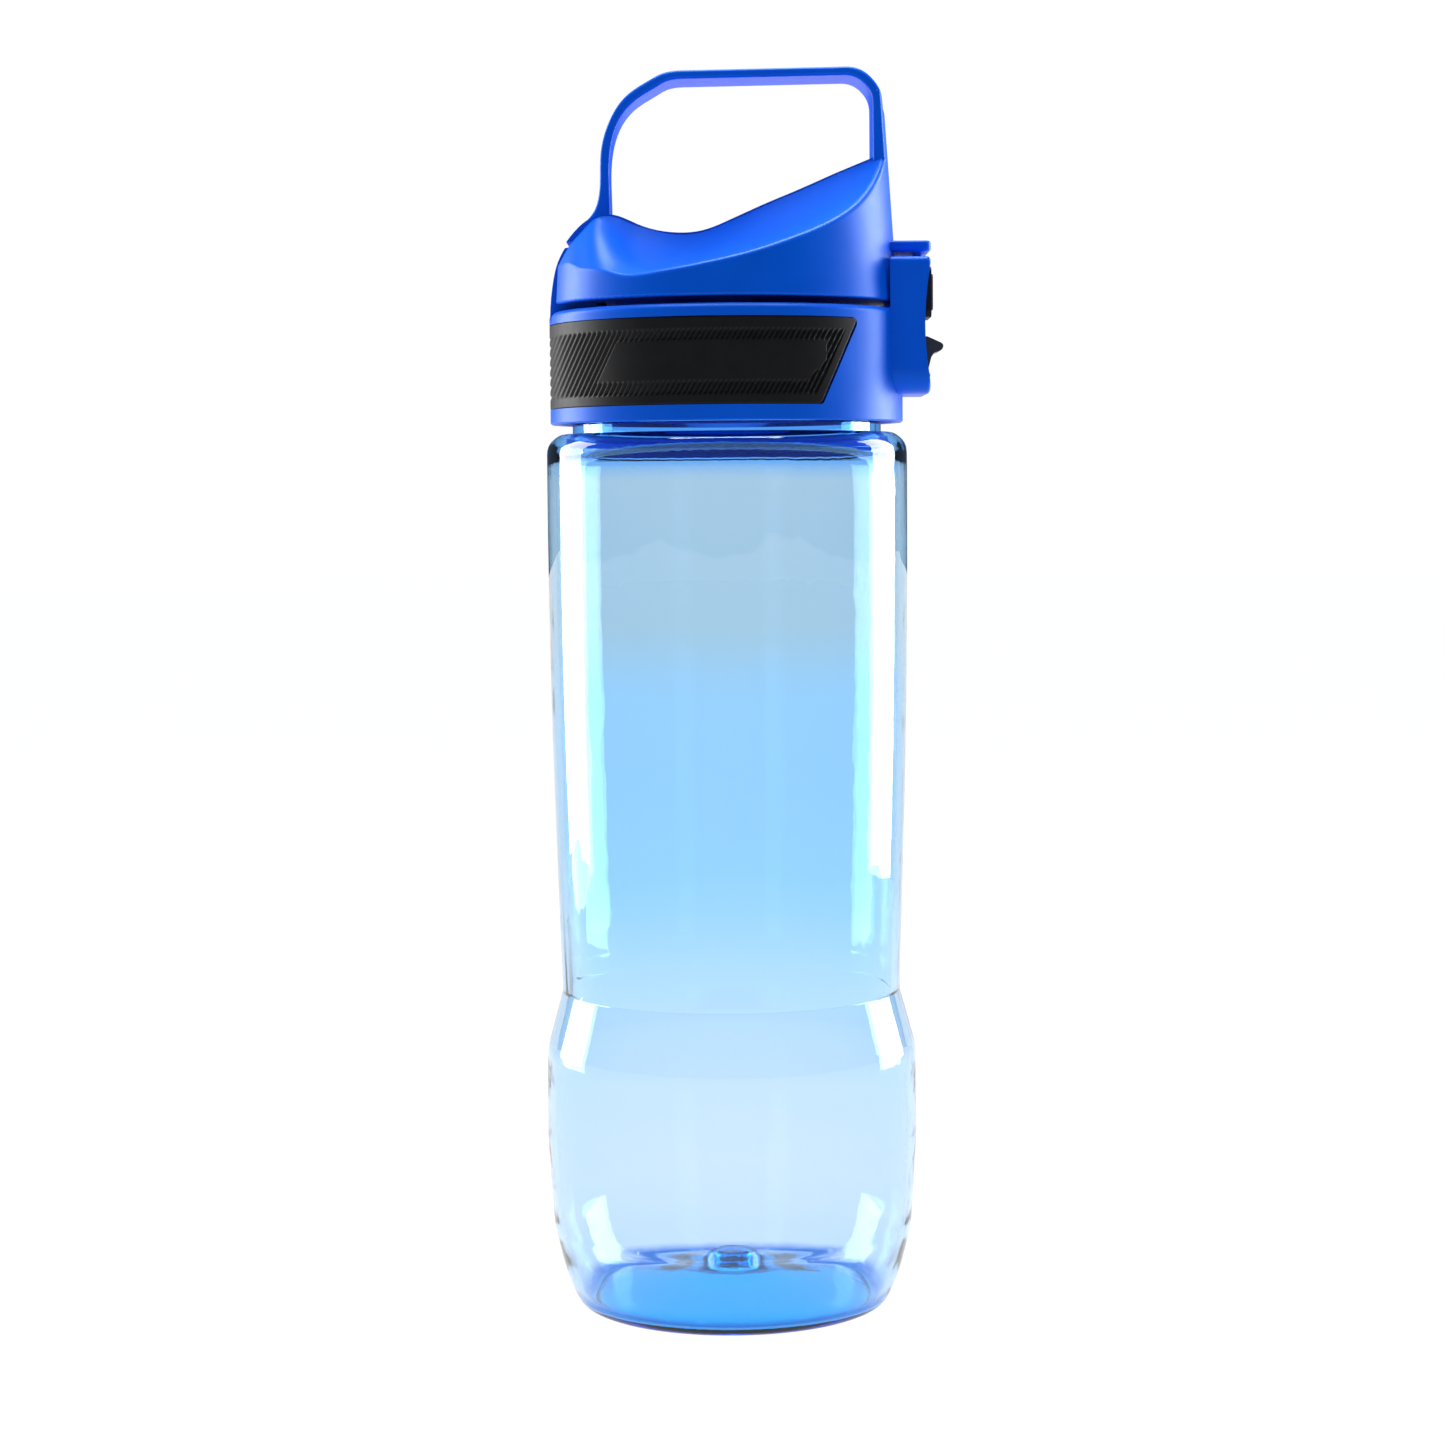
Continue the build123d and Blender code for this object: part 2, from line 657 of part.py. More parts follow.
with BuildPart() as carry_loop:
    # Side view of the loop, from the hinge shoulder round to the latch side
    with BuildSketch(Plane.XZ):
        with BuildLine():
            roof = Line((-8.9, loop_top - 33.9 * loop_rise), (25.0, loop_top))
            rear = Spline(
                (-33.6, 222.3), (-31.0, 225.9), (-27.2, 229.9), (-26.05, 233.4), (-25.55, 242.4),
                (-23.75, 248.5), (-20.2, 253.6), (-15.2, 256.9), roof @ 0,
                tangents=((0.5, 1), (1, loop_rise)),
            )
            corner = Spline(
                roof @ 1, (29.5, 257.7), (31.95, 254.7), (32.8, 250.6), tangents=((1, loop_rise), (0.07, -1)),
            )
            Polyline(corner @ 1, (36.2, 245.1), (36.2, loop_low), (-33.6, loop_low), rear @ 0)
        make_face()
    extrude(amount=15.0, both=True)
    # Opening for the fingers; its floor lies inside the lid's spine
    with BuildSketch(Plane.XZ):
        with BuildLine():
            ceiling = Line((-8.4, loop_ceiling), (24.6, loop_ceiling + 33.0 * loop_rise))
            front = Spline(
                (-23.7, 230.3), (-23.6, 242.1), (-22.0, 248.0), (-18.6, 252.4), (-14.0, 255.3), ceiling @ 0,
                tangents=((0, 1), (1, loop_rise)),
            )
            bend = Spline(ceiling @ 1, (29.0, 255.5), (30.6, 251.4), tangents=((1, loop_rise), (0, -1)))
            Polyline(bend @ 1, (30.6, 235.4), (10.0, loop_low), (-23.7, loop_low), front @ 0)
        make_face()
    extrude(amount=20.0, both=True, mode=Mode.SUBTRACT)
    # Plan view: a strap that widens a little into the wall on the latch side
    with BuildSketch(Plane.XY.offset(loop_low)):
        with BuildLine():
            strap = Polyline((-40.0, 0), (-40.0, spine_half), (18.0, spine_half))
            flare = Spline(strap @ 1, (26.0, 7.5), (32.0, 8.2), (38.0, 9.6), tangents=((1, 0), (1, 0.3)))
            Line(flare @ 1, (38.0, 0))
            mirror(about=Plane.XZ)
        make_face()
    extrude(amount=50.0, mode=Mode.INTERSECT)
    # Outside of the drafted wall
    with BuildSketch(Plane.XZ):
        with BuildLine():
            Polyline(
                (0, loop_low), (lid_radius_at(loop_low), loop_low),
                (lid_radius_at(loop_low + 45), loop_low + 45), (0, loop_low + 45),
                close=True,
            )
        make_face()
    revolve(axis=Axis.Z, mode=Mode.INTERSECT)
    fillet(carry_loop.edges().filter_by(runs_along_loop), loop_round)

# Room for the hinge tower, cut through the lid between its two lugs
edge_angle = radians(104.0)
with BuildPart() as hinge_room:
    with BuildSketch(Plane.XZ):
        with BuildLine():
            Polyline(
                (hinge_x, hinge_z),
                (hinge_x + 25.0 * cos(edge_angle), hinge_z + 25.0 * sin(edge_angle)),
                (-60.0, hinge_z + 25.0 * sin(edge_angle)),
                (-60.0, 200.0),
                (hinge_x + lid_reach, 200.0),
                (hinge_x + lid_reach, hinge_z),
                close=True,
            )
        make_face()
        with Locations((hinge_x, hinge_z)):
            Circle(lid_reach)
    extrude(amount=tower_half + 0.3, both=True)

tab_low, tab_high = 221.2, 223.4
tab_back, tab_front = 30.7, 42.5
tongue_low = 214.4
tongue_back, tongue_front = 39.3, 40.6
with BuildPart() as latch_tab:
    with BuildSketch(Plane.XY.offset(tab_low)):
        with Locations(((tab_back + tab_front) / 2, 0)):
            RectangleRounded(tab_front - tab_back, 18.0, 1.6)
    extrude(amount=tab_high - tab_low)
    fillet(latch_tab.edges().filter_by(Plane.XY), 0.6)
    with BuildSketch(Plane.XZ):
        with BuildLine():
            Polyline(
                (tongue_back, tab_low + 0.5),
                (tongue_front, tab_low + 0.5),
                (tongue_front, tongue_low + 0.4),
                (tongue_front - 0.4, tongue_low),
                (tongue_back - 0.4, tongue_low),
                (tongue_back - 0.8, tongue_low + 0.6),
                (tongue_back - 0.8, tongue_low + 1.2),
                (tongue_back, tongue_low + 1.3),
                close=True,
            )
        make_face()
    extrude(amount=4.5, both=True)

outer_form = lid_form(0.0)
inner_form = lid_form(lid_wall)
with BuildPart() as lid_lugs:
    with BuildSketch(Plane.XZ):
        with Locations((hinge_x, hinge_z)):
            Circle(3.4)
        with Locations((hinge_x - 3.0, hinge_z + 5.0)):
            Rectangle(12.8, 10.0)
    extrude(amount=lug_half, both=True)
    add(outer_form, mode=Mode.INTERSECT)

with BuildPart() as lid_shell:
    add(outer_form)
    add(latch_tab.part)
    add(carry_loop.part)
    add(inner_form, mode=Mode.SUBTRACT)
    add(lid_lugs.part)
    add(hinge_room.part, mode=Mode.SUBTRACT)
    with BuildSketch(Plane.XZ):
        with Locations((hinge_x, hinge_z)):
            Circle(pin_radius + 0.05)
    extrude(amount=lug_half, both=True, mode=Mode.SUBTRACT)

lid_shell.part.label = "lid_shell"
export_step(lid_shell.part, "parts/lid_shell.step")

# Liner: closes the lid's underside and carries the spout seal in a cup
liner_low, liner_high = 211.0, 211.9
cup_top = 223.4
with BuildPart() as lid_liner:
    with BuildSketch(Plane.XY.offset(liner_low)):
        Circle(lid_radius_at(liner_low) - lid_wall - 0.15)
        with Locations((hinge_x - 3.0, 0)):
            Rectangle(20.0, 2 * lug_half + 1.0, mode=Mode.SUBTRACT)
    extrude(amount=liner_high - liner_low)
    with BuildSketch(Plane.XY.offset(liner_low)):
        with Locations((spout_x, 0)):
            Circle(spout_radius + 2.6)
    extrude(amount=cup_top - liner_low)
    with BuildSketch(Plane.XY.offset(liner_low)):
        with Locations((spout_x, 0)):
            Circle(spout_radius + 1.4)
    extrude(amount=cup_top - 1.2 - liner_low, mode=Mode.SUBTRACT)
    with BuildSketch(Plane.XY.offset(liner_low)):
        with Locations((vent_x, 0)):
            Circle(1.2)
    extrude(amount=liner_high - liner_low, mode=Mode.SUBTRACT)

lid_liner.part.label = "lid_liner"
export_step(lid_liner.part, "parts/lid_liner.step")

with BuildPart() as spout_seal:
    with BuildSketch(Plane(origin=(spout_x, 0, 0), x_dir=(1, 0, 0), z_dir=(0, -1, 0))):
        with BuildLine():
            Polyline(
                (0, cup_top - 1.2),
                (spout_radius + 1.3, cup_top - 1.2),
                (spout_radius + 1.3, spout_top + 0.2),
                (spout_bore - 0.35, spout_top + 0.2),
                (spout_bore - 0.5, spout_top - 2.0),
                (spout_bore - 1.2, spout_top - 2.0),
                (spout_bore - 1.2, spout_top - 0.4),
                (0, spout_top - 0.4),
                close=True,
            )
        make_face()
    revolve(axis=Axis((spout_x, 0, 0), (0, 0, 1)))

spout_seal.part.label = "spout_seal"
export_step(spout_seal.part, "parts/spout_seal.step")

with BuildPart() as vent_plug:
    with BuildSketch(Plane.XY.offset(deck_high + 1.3)):
        with Locations((vent_x, 0)):
            Circle(2.4)
    extrude(amount=liner_low - deck_high - 1.3)
    fillet(vent_plug.edges().group_by(Axis.Z)[0], 0.4)
    with BuildSketch(Plane.XY.offset(liner_low)):
        with Locations((vent_x, 0)):
            Circle(1.2)
    extrude(amount=liner_high - liner_low)
    with BuildSketch(Plane.XY.offset(liner_high)):
        with Locations((vent_x, 0)):
            Circle(2.0)
    extrude(amount=0.8)

vent_plug.part.label = "vent_plug"
export_step(vent_plug.part, "parts/vent_plug.step")
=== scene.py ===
"""Looks of the flip-top water bottle: clear blue body, satin blue collar and lid, ribbed black grip band."""

import json
from math import acos, cos, pi, radians, sin, sqrt, tan

import bpy
from mathutils import Matrix, Vector


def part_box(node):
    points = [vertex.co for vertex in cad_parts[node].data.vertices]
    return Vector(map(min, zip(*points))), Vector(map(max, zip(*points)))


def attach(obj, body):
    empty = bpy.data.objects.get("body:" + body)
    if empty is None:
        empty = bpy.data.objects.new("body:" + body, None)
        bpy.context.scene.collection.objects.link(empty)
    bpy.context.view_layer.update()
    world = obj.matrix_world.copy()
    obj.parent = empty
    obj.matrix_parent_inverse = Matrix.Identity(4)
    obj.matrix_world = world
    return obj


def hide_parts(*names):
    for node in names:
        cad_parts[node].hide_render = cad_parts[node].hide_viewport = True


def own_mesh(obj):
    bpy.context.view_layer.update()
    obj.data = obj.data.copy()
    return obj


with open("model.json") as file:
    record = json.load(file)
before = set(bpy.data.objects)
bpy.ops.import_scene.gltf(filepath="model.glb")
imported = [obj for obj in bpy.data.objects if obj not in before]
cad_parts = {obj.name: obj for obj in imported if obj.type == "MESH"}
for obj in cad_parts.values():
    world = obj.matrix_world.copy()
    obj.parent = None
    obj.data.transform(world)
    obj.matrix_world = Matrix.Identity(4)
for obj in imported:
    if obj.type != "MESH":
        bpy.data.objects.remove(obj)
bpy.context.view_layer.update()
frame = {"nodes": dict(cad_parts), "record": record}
nodes = frame["nodes"]

# ---------------------------------------------------------------- camera, light and stage
MM = 0.001
CAMERA_AT = Vector((-0.0014, -0.663, 0.1709))
CAMERA_PITCH = radians(4.1)
CAMERA_ROLL = radians(0.48)
CAMERA_LENS = 78.35
CAMERA_SENSOR = 36.0
LIGHT_AIM = Vector((0, 0, 0.15))
SIDE_LIGHT = {"distance": 0.60, "height": 0.24, "size": (0.30, 0.62)}
SEEN_STRENGTH, CAST_STRENGTH = 1.01, 0.15
FLOOR_HALF = 6.0
FLOOR_ALBEDO, FLOOR_GLOW = 0.10, 0.99


def make_camera():
    """Eye-level camera, a little above the bottle's middle, tipped slightly down and rolled."""
    ahead = Vector((0, cos(CAMERA_PITCH), -sin(CAMERA_PITCH)))
    side = Vector((1, 0, 0))
    over = side.cross(ahead)
    right = side * cos(CAMERA_ROLL) - over * sin(CAMERA_ROLL)
    up = over * cos(CAMERA_ROLL) + side * sin(CAMERA_ROLL)
    data = bpy.data.cameras.new("camera")
    data.lens = CAMERA_LENS
    data.sensor_width = CAMERA_SENSOR
    data.clip_start = 0.01
    camera = bpy.data.objects.new("camera", data)
    camera.matrix_world = Matrix.Translation(CAMERA_AT) @ Matrix((right, up, -ahead)).transposed().to_4x4()
    bpy.context.scene.collection.objects.link(camera)
    bpy.context.scene.camera = camera


def softbox(name, azimuth, power, distance, height, size):
    """Area light standing round the bottle: azimuth 0 is at the camera's side, 90 to the right."""
    data = bpy.data.lights.new(name, "AREA")
    data.shape = "RECTANGLE"
    data.size, data.size_y = size
    data.energy = power
    light = bpy.data.objects.new(name, data)
    a = radians(azimuth)
    at = Vector((distance * sin(a), -distance * cos(a), height))
    light.location = at
    light.rotation_euler = (LIGHT_AIM - at).to_track_quat("-Z", "Y").to_euler()
    light.visible_camera = False
    bpy.context.scene.collection.objects.link(light)


def make_world():
    """Surroundings that are seen as even white, and that cast only a dim, bluish light."""
    world = bpy.data.worlds.new("studio")
    bpy.context.scene.world = world
    world.use_nodes = True
    tree = world.node_tree
    tree.nodes.clear()
    out = tree.nodes.new("ShaderNodeOutputWorld")
    seen = tree.nodes.new("ShaderNodeBackground")
    seen.inputs["Color"].default_value = (1, 1, 1, 1)
    seen.inputs["Strength"].default_value = SEEN_STRENGTH
    cast = tree.nodes.new("ShaderNodeBackground")
    cast.inputs["Color"].default_value = (0.42, 0.62, 1, 1)
    cast.inputs["Strength"].default_value = CAST_STRENGTH
    mix = tree.nodes.new("ShaderNodeMixShader")
    path = tree.nodes.new("ShaderNodeLightPath")
    either = tree.nodes.new("ShaderNodeMath")
    either.operation = "MAXIMUM"
    tree.links.new(path.outputs["Is Camera Ray"], either.inputs[0])
    tree.links.new(path.outputs["Is Transmission Ray"], either.inputs[1])
    tree.links.new(either.outputs[0], mix.inputs[0])
    tree.links.new(cast.outputs[0], mix.inputs[1])
    tree.links.new(seen.outputs[0], mix.inputs[2])
    tree.links.new(mix.outputs[0], out.inputs["Surface"])


def make_floor():
    """Large white floor, lit mostly from within so that it stays even and pale."""
    mesh = bpy.data.meshes.new("floor")
    far = FLOOR_HALF
    mesh.from_pydata([(-far, -far, 0), (far, -far, 0), (far, far, 0), (-far, far, 0)], [], [(0, 1, 2, 3)])
    floor = bpy.data.objects.new("floor", mesh)
    bpy.context.scene.collection.objects.link(floor)
    material = bpy.data.materials.new("floor_white")
    material.use_nodes = True
    shader = material.node_tree.nodes["Principled BSDF"]
    shader.inputs["Base Color"].default_value = (FLOOR_ALBEDO, FLOOR_ALBEDO, FLOOR_ALBEDO, 1)
    shader.inputs["Roughness"].default_value = 1.0
    shader.inputs["Specular IOR Level"].default_value = 0.0
    shader.inputs["Emission Color"].default_value = (1, 1, 1, 1)
    shader.inputs["Emission Strength"].default_value = FLOOR_GLOW
    mesh.materials.append(material)


# ---------------------------------------------------------------- material helpers
def new_material(name):
    """Material with its node tree and its Principled shader."""
    material = bpy.data.materials.new(name)
    material.use_nodes = True
    return material, material.node_tree, material.node_tree.nodes["Principled BSDF"]


def noise(tree, scale, detail=3.0):
    """Noise laid in the part's own frame, scale in cells per metre."""
    place = tree.nodes.new("ShaderNodeTexCoord")
    node = tree.nodes.new("ShaderNodeTexNoise")
    node.inputs["Scale"].default_value = scale
    node.inputs["Detail"].default_value = detail
    node.inputs["Roughness"].default_value = 0.5
    tree.links.new(place.outputs["Object"], node.inputs["Vector"])
    return node.outputs["Fac"]


def spread(tree, value, low, high):
    """Maps 0..1 to low..high."""
    node = tree.nodes.new("ShaderNodeMapRange")
    node.inputs["To Min"].default_value = low
    node.inputs["To Max"].default_value = high
    tree.links.new(value, node.inputs["Value"])
    return node.outputs["Result"]


def bump(tree, shader, height, strength, distance):
    """Lays a fine relief on the shader's normal."""
    node = tree.nodes.new("ShaderNodeBump")
    node.inputs["Strength"].default_value = strength
    node.inputs["Distance"].default_value = distance
    tree.links.new(height, node.inputs["Height"])
    tree.links.new(node.outputs["Normal"], shader.inputs["Normal"])


def tint(tree, fac, colours):
    """Colour ramp through (position, colour) stops."""
    ramp = tree.nodes.new("ShaderNodeValToRGB")
    stops = ramp.color_ramp.elements
    while len(stops) < len(colours):
        stops.new(0.5)
    for stop, (position, colour) in zip(stops, colours):
        stop.position = position
        stop.color = (*colour, 1)
    tree.links.new(fac, ramp.inputs["Fac"])
    return ramp.outputs["Color"]


def ramp_between(tree, value, start, end):
    """0 at the start value, 1 at the end value, clamped outside."""
    node = tree.nodes.new("ShaderNodeMapRange")
    node.inputs["From Min"].default_value = start
    node.inputs["From Max"].default_value = end
    tree.links.new(value, node.inputs["Value"])
    return node.outputs["Result"]


def times(tree, first, second):
    """Product of two values."""
    node = tree.nodes.new("ShaderNodeMath")
    node.operation = "MULTIPLY"
    tree.links.new(first, node.inputs[0])
    tree.links.new(second, node.inputs[1])
    return node.outputs[0]


def mixed(tree, fac, under, colour):
    """Lays a plain colour over another one where the factor is 1."""
    node = tree.nodes.new("ShaderNodeMix")
    node.data_type = "RGBA"
    tree.links.new(fac, node.inputs[0])
    tree.links.new(under, node.inputs[6])
    node.inputs[7].default_value = (*colour, 1)
    return node.outputs[2]


# ---------------------------------------------------------------- materials
BODY_TOP = 0.21
# bounds and colours of the painted shade on the base disc and of the dark painted crescent along the foot
BASE_EDGE, BASE_EDGE_SOFT = 0.0322, 0.0300
BASE_TOP, BASE_TOP_SOFT = 0.0150, 0.0115
FOOT_EDGE, FOOT_EDGE_SOFT = 0.0285, 0.0300
FOOT_TOP, FOOT_TOP_SOFT = 0.0042, 0.0012
BASE_PAINTED_SHADE, FOOT_PAINTED_SHADE = (0.0, 0.55, 1.0), (0.0, 0.16, 0.66)
CLEAR_IOR = 1.45
ABSORBED, ABSORBED_DENSITY = (0.0, 0.61, 0.98, 1), 105.0


def clear_blue():
    """Transparent blue copolyester, its colour ramped by height as painted light and shade: pale low down,
    azure in the middle, greyish under the shoulder and deeper blue at the shoulder, with painted shade on
    the base and a dark painted crescent on the foot.
    """
    material, tree, shader = new_material("clear_blue")
    place = tree.nodes.new("ShaderNodeTexCoord")
    split = tree.nodes.new("ShaderNodeSeparateXYZ")
    tree.links.new(place.outputs["Object"], split.inputs[0])
    flat = tree.nodes.new("ShaderNodeCombineXYZ")
    tree.links.new(split.outputs["X"], flat.inputs["X"])
    tree.links.new(split.outputs["Y"], flat.inputs["Y"])
    radius = tree.nodes.new("ShaderNodeVectorMath")
    radius.operation = "LENGTH"
    tree.links.new(flat.outputs[0], radius.inputs[0])
    height = ramp_between(tree, split.outputs["Z"], 0.0, BODY_TOP)
    # painted light and shade: the colour changes with height to stand in for the surroundings and the blue
    # collar seen in and through the body
    colour = tint(tree, height, [
        (0.00, (0.80, 0.87, 1.0)),
        (0.10, (0.88, 0.90, 1.0)),
        (0.18, (0.88, 0.90, 1.0)),
        (0.32, (0.78, 0.89, 1.0)),
        (0.42, (0.64, 0.86, 1.0)),
        (0.62, (0.66, 0.86, 1.0)),
        (0.68, (0.72, 0.83, 0.89)),
        (0.83, (0.76, 0.84, 0.90)),
        (0.86, (0.44, 0.70, 1.0)),
        (1.00, (0.50, 0.72, 1.0)),
    ])
    # painted shade: a deeper blue laid over the thick base disc
    base_painted_shade = times(
        tree,
        ramp_between(tree, radius.outputs["Value"], BASE_EDGE, BASE_EDGE_SOFT),
        ramp_between(tree, split.outputs["Z"], BASE_TOP, BASE_TOP_SOFT),
    )
    colour = mixed(tree, base_painted_shade, colour, BASE_PAINTED_SHADE)
    # painted shade: a dark navy crescent along the foot's outer lower edge
    foot_painted_shade = times(
        tree,
        ramp_between(tree, radius.outputs["Value"], FOOT_EDGE, FOOT_EDGE_SOFT),
        ramp_between(tree, split.outputs["Z"], FOOT_TOP, FOOT_TOP_SOFT),
    )
    colour = mixed(tree, foot_painted_shade, colour, FOOT_PAINTED_SHADE)
    tree.links.new(colour, shader.inputs["Base Color"])
    shader.inputs["Transmission Weight"].default_value = 1.0
    shader.inputs["IOR"].default_value = CLEAR_IOR
    tree.links.new(spread(tree, noise(tree, 60.0), 0.0, 0.03), shader.inputs["Roughness"])
    bump(tree, shader, noise(tree, 25.0, 1.0), 0.05, 0.001)
    volume = tree.nodes.new("ShaderNodeVolumeAbsorption")
    volume.inputs["Color"].default_value = ABSORBED
    volume.inputs["Density"].default_value = ABSORBED_DENSITY
    tree.links.new(volume.outputs[0], tree.nodes["Material Output"].inputs["Volume"])
    return material


def blue_plastic():
    """Royal blue polypropylene with a satin moulded skin."""
    material, tree, shader = new_material("blue_plastic")
    colour = tint(tree, noise(tree, 90.0), [(0.3, (0.0, 0.096, 0.70)), (0.7, (0.0, 0.106, 0.76))])
    tree.links.new(colour, shader.inputs["Base Color"])
    tree.links.new(spread(tree, noise(tree, 400.0), 0.33, 0.43), shader.inputs["Roughness"])
    shader.inputs["Specular IOR Level"].default_value = 0.25
    shader.inputs["Specular Tint"].default_value = (0.30, 0.72, 1.0, 1)
    bump(tree, shader, noise(tree, 2500.0, 2.0), 0.06, 0.0001)
    return material


def black_rubber():
    """Matt black elastomer with a fine moulded texture."""
    material, tree, shader = new_material("black_rubber")
    colour = tint(tree, noise(tree, 300.0), [(0.3, (0.004, 0.004, 0.0044)), (0.7, (0.006, 0.006, 0.0066))])
    tree.links.new(colour, shader.inputs["Base Color"])
    tree.links.new(spread(tree, noise(tree, 500.0), 0.42, 0.55), shader.inputs["Roughness"])
    shader.inputs["Specular IOR Level"].default_value = 0.18
    bump(tree, shader, noise(tree, 3000.0, 2.0), 0.15, 0.0001)
    return material


def black_plastic():
    """Satin black plastic, a shade lighter than the elastomer."""
    material, tree, shader = new_material("black_plastic")
    colour = tint(tree, noise(tree, 300.0), [(0.3, (0.014, 0.014, 0.015)), (0.7, (0.022, 0.022, 0.024))])
    tree.links.new(colour, shader.inputs["Base Color"])
    tree.links.new(spread(tree, noise(tree, 500.0), 0.32, 0.45), shader.inputs["Roughness"])
    bump(tree, shader, noise(tree, 2500.0, 2.0), 0.1, 0.0001)
    return material


def silicone():
    """Pale translucent silicone."""
    material, tree, shader = new_material("silicone")
    colour = tint(tree, noise(tree, 120.0), [(0.3, (0.72, 0.77, 0.80)), (0.7, (0.80, 0.84, 0.86))])
    tree.links.new(colour, shader.inputs["Base Color"])
    shader.inputs["Transmission Weight"].default_value = 0.25
    shader.inputs["IOR"].default_value = 1.41
    tree.links.new(spread(tree, noise(tree, 300.0), 0.35, 0.5), shader.inputs["Roughness"])
    return material


def steel():
    """Bright drawn spring wire."""
    material, tree, shader = new_material("steel")
    colour = tint(tree, noise(tree, 800.0), [(0.3, (0.52, 0.52, 0.53)), (0.7, (0.62, 0.62, 0.62))])
    tree.links.new(colour, shader.inputs["Base Color"])
    shader.inputs["Metallic"].default_value = 1.0
    tree.links.new(spread(tree, noise(tree, 1500.0), 0.2, 0.35), shader.inputs["Roughness"])
    return material


def light_blue():
    """Light blue moulded plastic."""
    material, tree, shader = new_material("light_blue")
    colour = tint(tree, noise(tree, 200.0), [(0.3, (0.03, 0.36, 0.90)), (0.7, (0.05, 0.42, 0.95))])
    tree.links.new(colour, shader.inputs["Base Color"])
    tree.links.new(spread(tree, noise(tree, 400.0), 0.25, 0.35), shader.inputs["Roughness"])
    return material


MATERIALS = {
    "clear_blue_copolyester": clear_blue(),
    "blue_polypropylene": blue_plastic(),
    "black_elastomer": black_rubber(),
    "black_plastic": black_plastic(),
    "clear_silicone": silicone(),
    "spring_steel": steel(),
    "light_blue_plastic": light_blue(),
}


def dress_nodes():
    """Gives each CAD node the material of its slot."""
    for entry in frame["record"]["subparts"]:
        node = nodes[entry["node"]]
        material = MATERIALS[entry["material_slot"]]
        if not node.material_slots:
            node.data.materials.append(material)
        for slot in node.material_slots:
            slot.material = material


def new_piece(name, points, faces, slot, body, replaced):
    """Smooth-shaded mesh piece in a record slot's material, riding a body in place of a CAD node."""
    mesh = bpy.data.meshes.new(name)
    mesh.from_pydata(points, [], faces)
    mesh.shade_smooth()
    mesh.materials.append(MATERIALS[slot])
    piece = bpy.data.objects.new(name, mesh)
    bpy.context.scene.collection.objects.link(piece)
    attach(piece, body)
    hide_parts(replaced)
    return piece


# ---------------------------------------------------------------- grip band
BAND_WALL = 1.35 * MM
BAND_END_SLANT = radians(66.25)
BAND_END_BACK = 0.35 * MM
BAND_COLUMNS = 1300
INNER_ROWS = 62
EDGE_ROWS = [0.0, 0.05, 0.12, 0.22, 0.35]
END_CORNER_HIGH, END_CORNER_LOW = 1.2 * MM, 0.8 * MM
END_CORNER_PULL = 0.8
RIB_SLANT = radians(63.0)
RIB_PITCH = 1.05 * MM
RIB_DEPTH = 0.34 * MM
RIB_MARGIN_LOW, RIB_MARGIN_HIGH = 2.1 * MM, 2.6 * MM
RIB_MARGIN_END = 1.6 * MM
RIB_RUN_OUT = 0.25 * MM
PLAQUE_LEFT, PLAQUE_RIGHT = -24.0 * MM, 20.0 * MM
PLAQUE_HALF = 4.0 * MM
PLAQUE_TAPER = 0.5
PLAQUE_RUN_OUT = 0.3 * MM
EDGE_ROUND = 0.35 * MM


def step(value, low, high):
    """Smooth step from 0 at low to 1 at high."""
    t = min(max((value - low) / (high - low), 0.0), 1.0)
    return t * t * (3 - 2 * t)


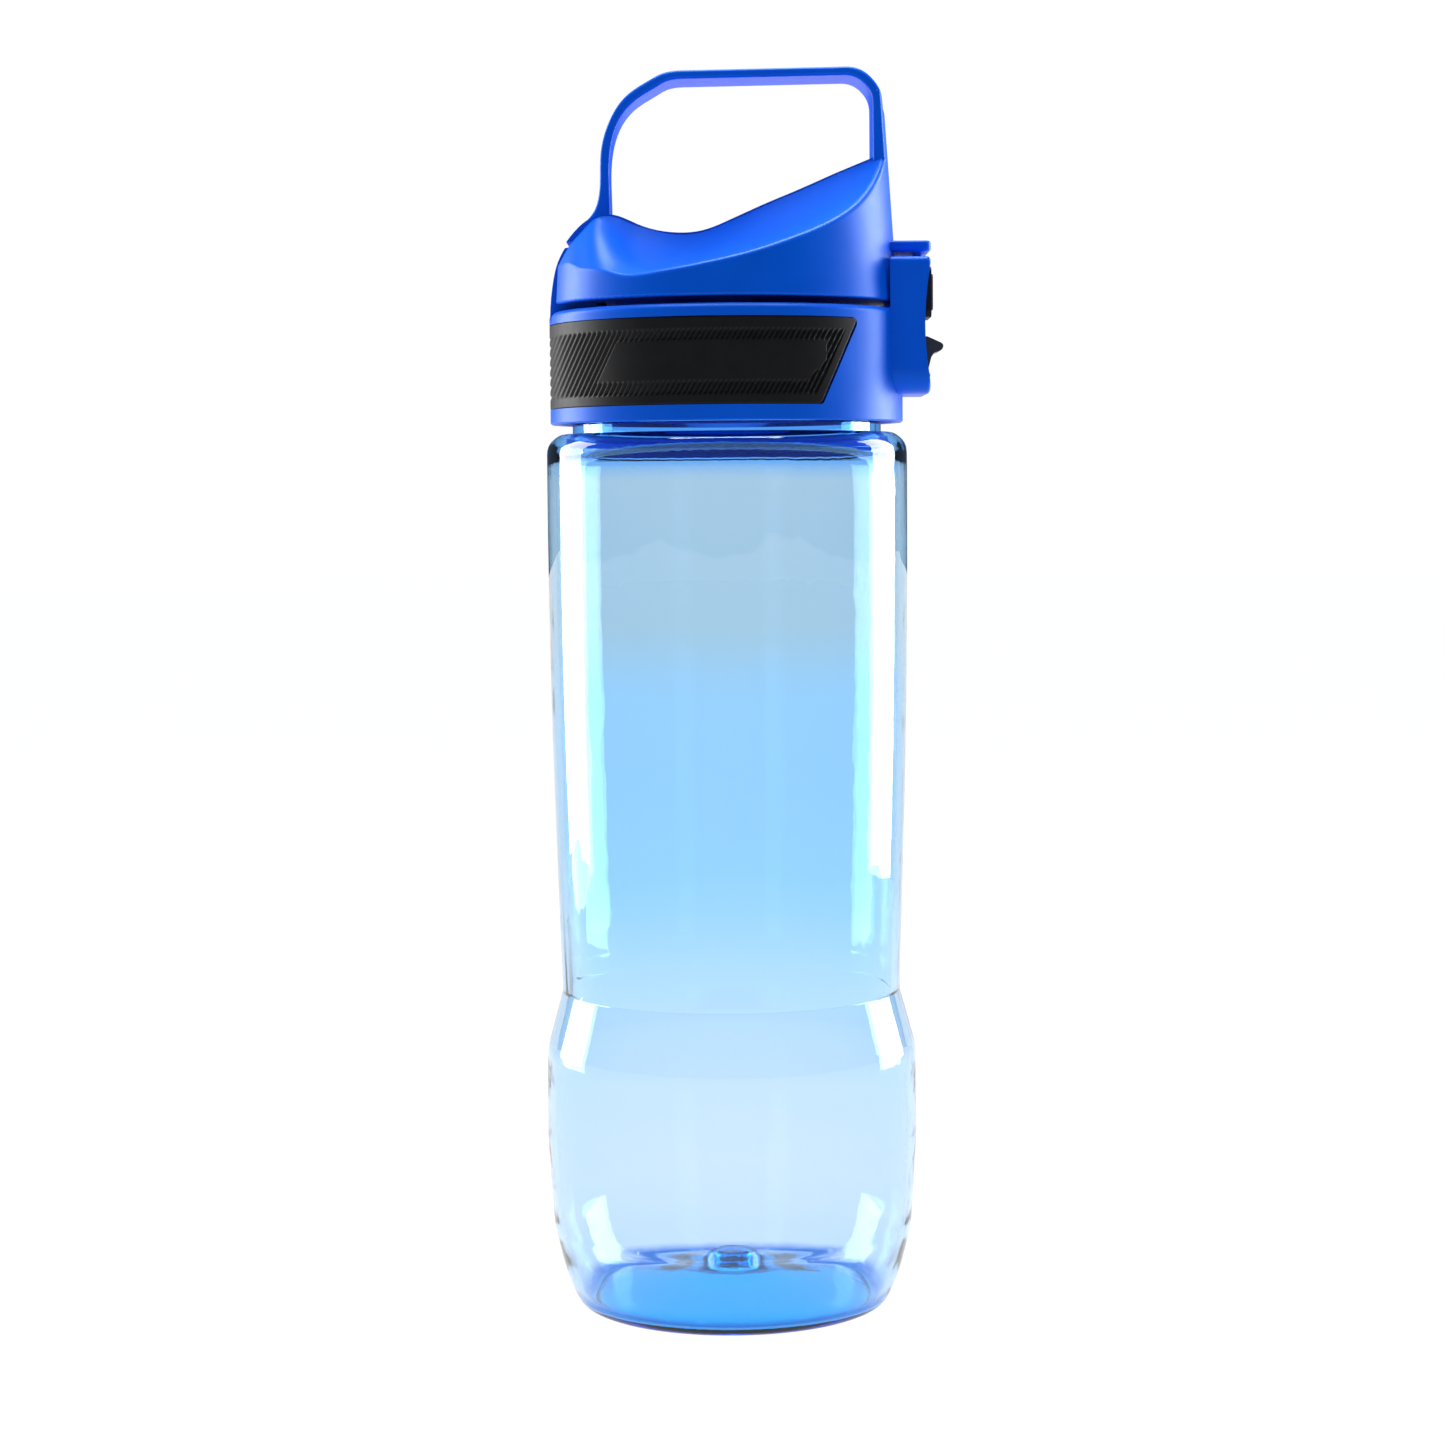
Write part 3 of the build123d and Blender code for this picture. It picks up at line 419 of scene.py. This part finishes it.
def make_grip_band():
    """Elastomer sleeve: diagonal ribs between plain margins, with a plain raised plaque on each side."""
    (low_x, low_y, low_z), (high_x, high_y, high_z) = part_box("grip_band")
    radius = -low_x
    inner = radius - BAND_WALL
    end_low = high_x - (high_z - low_z) / tan(BAND_END_SLANT) + BAND_END_BACK
    middle = (low_z + high_z) / 2
    columns = BAND_COLUMNS
    heights = [low_z + e * MM for e in EDGE_ROWS]
    span = high_z - low_z - 2 * EDGE_ROWS[-1] * MM
    heights += [low_z + EDGE_ROWS[-1] * MM + span * k / INNER_ROWS for k in range(1, INNER_ROWS)]
    heights += [high_z - e * MM for e in reversed(EDGE_ROWS)]

    def end_at(z):
        """Where the slanted end lies at a height, with its two corners rounded."""
        end = end_low + (z - low_z) / tan(BAND_END_SLANT)
        for corner, distance in ((END_CORNER_HIGH, high_z - z), (END_CORNER_LOW, z - low_z)):
            if distance < corner:
                end -= END_CORNER_PULL * (corner - sqrt(corner ** 2 - (corner - distance) ** 2))
        return end

    def relief(x, y, z, end):
        """How far the surface lies under the sleeve's full radius."""
        to_edge = min(z - low_z, high_z - z, max(end - x, 0.0))
        sunk = 0.0
        if to_edge < EDGE_ROUND:
            sunk = EDGE_ROUND - sqrt(EDGE_ROUND ** 2 - (EDGE_ROUND - to_edge) ** 2)
        in_field = step(z, low_z + RIB_MARGIN_LOW, low_z + RIB_MARGIN_LOW + RIB_RUN_OUT)
        in_field *= step(high_z - z, RIB_MARGIN_HIGH, RIB_MARGIN_HIGH + RIB_RUN_OUT)
        in_field *= step(end - x, RIB_MARGIN_END, RIB_MARGIN_END + RIB_RUN_OUT)
        slanted = x - (z - middle) / tan(RIB_SLANT)
        off_middle = abs(z - middle)
        right_of_it = slanted - PLAQUE_RIGHT + PLAQUE_TAPER * off_middle
        beside = max(PLAQUE_LEFT - slanted, right_of_it, off_middle - PLAQUE_HALF)
        in_field *= step(beside, 0.0, PLAQUE_RUN_OUT)
        wave = 0.5 + 0.5 * cos(2 * pi * slanted / RIB_PITCH)
        return max(sunk, RIB_DEPTH * in_field * step(wave, 0.15, 0.75))

    outer, back = [], []
    for z in heights:
        end = end_at(z)
        reach = pi - acos(end / radius)
        for k in range(columns + 1):
            t = 2 * k / columns - 1
            turn = reach * t
            x, y = -cos(turn), -sin(turn)
            r = radius - relief(radius * x, radius * y, z, end)
            outer.append((r * x, r * y, z))
            back.append((inner * x, inner * y, z))
    width = columns + 1
    rows = len(heights)
    count = rows * width
    faces = []
    for j in range(rows - 1):
        for k in range(columns):
            a = j * width + k
            faces.append((a + width, a + width + 1, a + 1, a))
            b = a + count
            faces.append((b, b + 1, b + width + 1, b + width))
    top = (rows - 1) * width
    for k in range(columns):
        faces.append((k, k + 1, k + 1 + count, k + count))
        faces.append((top + k + count, top + k + 1 + count, top + k + 1, top + k))
    for j in range(rows - 1):
        a, b = j * width, j * width + columns
        faces.append((a, a + count, a + width + count, a + width))
        faces.append((b + width, b + width + count, b + count, b))
    piece = new_piece("grip_band_ribbed", outer + back, faces, "black_elastomer", "collar", "grip_band")
    piece.data.set_sharp_from_angle(angle=radians(50))


# ---------------------------------------------------------------- latch spring
SPRING_WIRE = 0.2 * MM
SPRING_TURNS = 6.0
SPRING_STEPS, SPRING_AROUND = 220, 10


def make_latch_spring():
    """Small compression spring behind the button, with its turns closer together towards the ends."""
    low, high = (Vector(v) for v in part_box("latch_spring"))
    wire = SPRING_WIRE
    centre = (low + high) / 2
    coil = (high.z - low.z) / 2 - wire
    start, length = low.x + wire, high.x - low.x - 2 * wire
    steps, around = SPRING_STEPS, SPRING_AROUND
    rings = []
    for i in range(steps + 1):
        t = i / steps
        turn = 2 * pi * SPRING_TURNS * t
        along = length * step(t, -0.05, 1.05)
        spoke = Vector((0, cos(turn), sin(turn)))
        place = Vector((start + along, centre.y, centre.z)) + coil * spoke
        ring = []
        for k in range(around):
            a = 2 * pi * k / around
            ring.append(place + wire * cos(a) * spoke + Vector((wire * sin(a), 0, 0)))
        rings.append(ring)
    points = [p for ring in rings for p in ring]
    faces = [tuple(range(around)), tuple(reversed(range(steps * around, (steps + 1) * around)))]
    for i in range(steps):
        for k in range(around):
            a, b = i * around + k, i * around + (k + 1) % around
            faces.append((a, a + around, b + around, b))
    piece = new_piece("latch_spring_coil", points, faces, "spring_steel", "collar", "latch_spring")
    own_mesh(piece)


# ---------------------------------------------------------------- make everything
bpy.context.scene.view_settings.view_transform = "Standard"
make_camera()
make_world()
make_floor()
softbox("softbox_left", azimuth=-117, power=5.0, **SIDE_LIGHT)
softbox("softbox_right", azimuth=117, power=6.0, **SIDE_LIGHT)
softbox("softbox_over", azimuth=180, power=5.5, distance=0.05, height=0.70, size=(0.40, 0.30))
dress_nodes()
make_grip_band()
make_latch_spring()
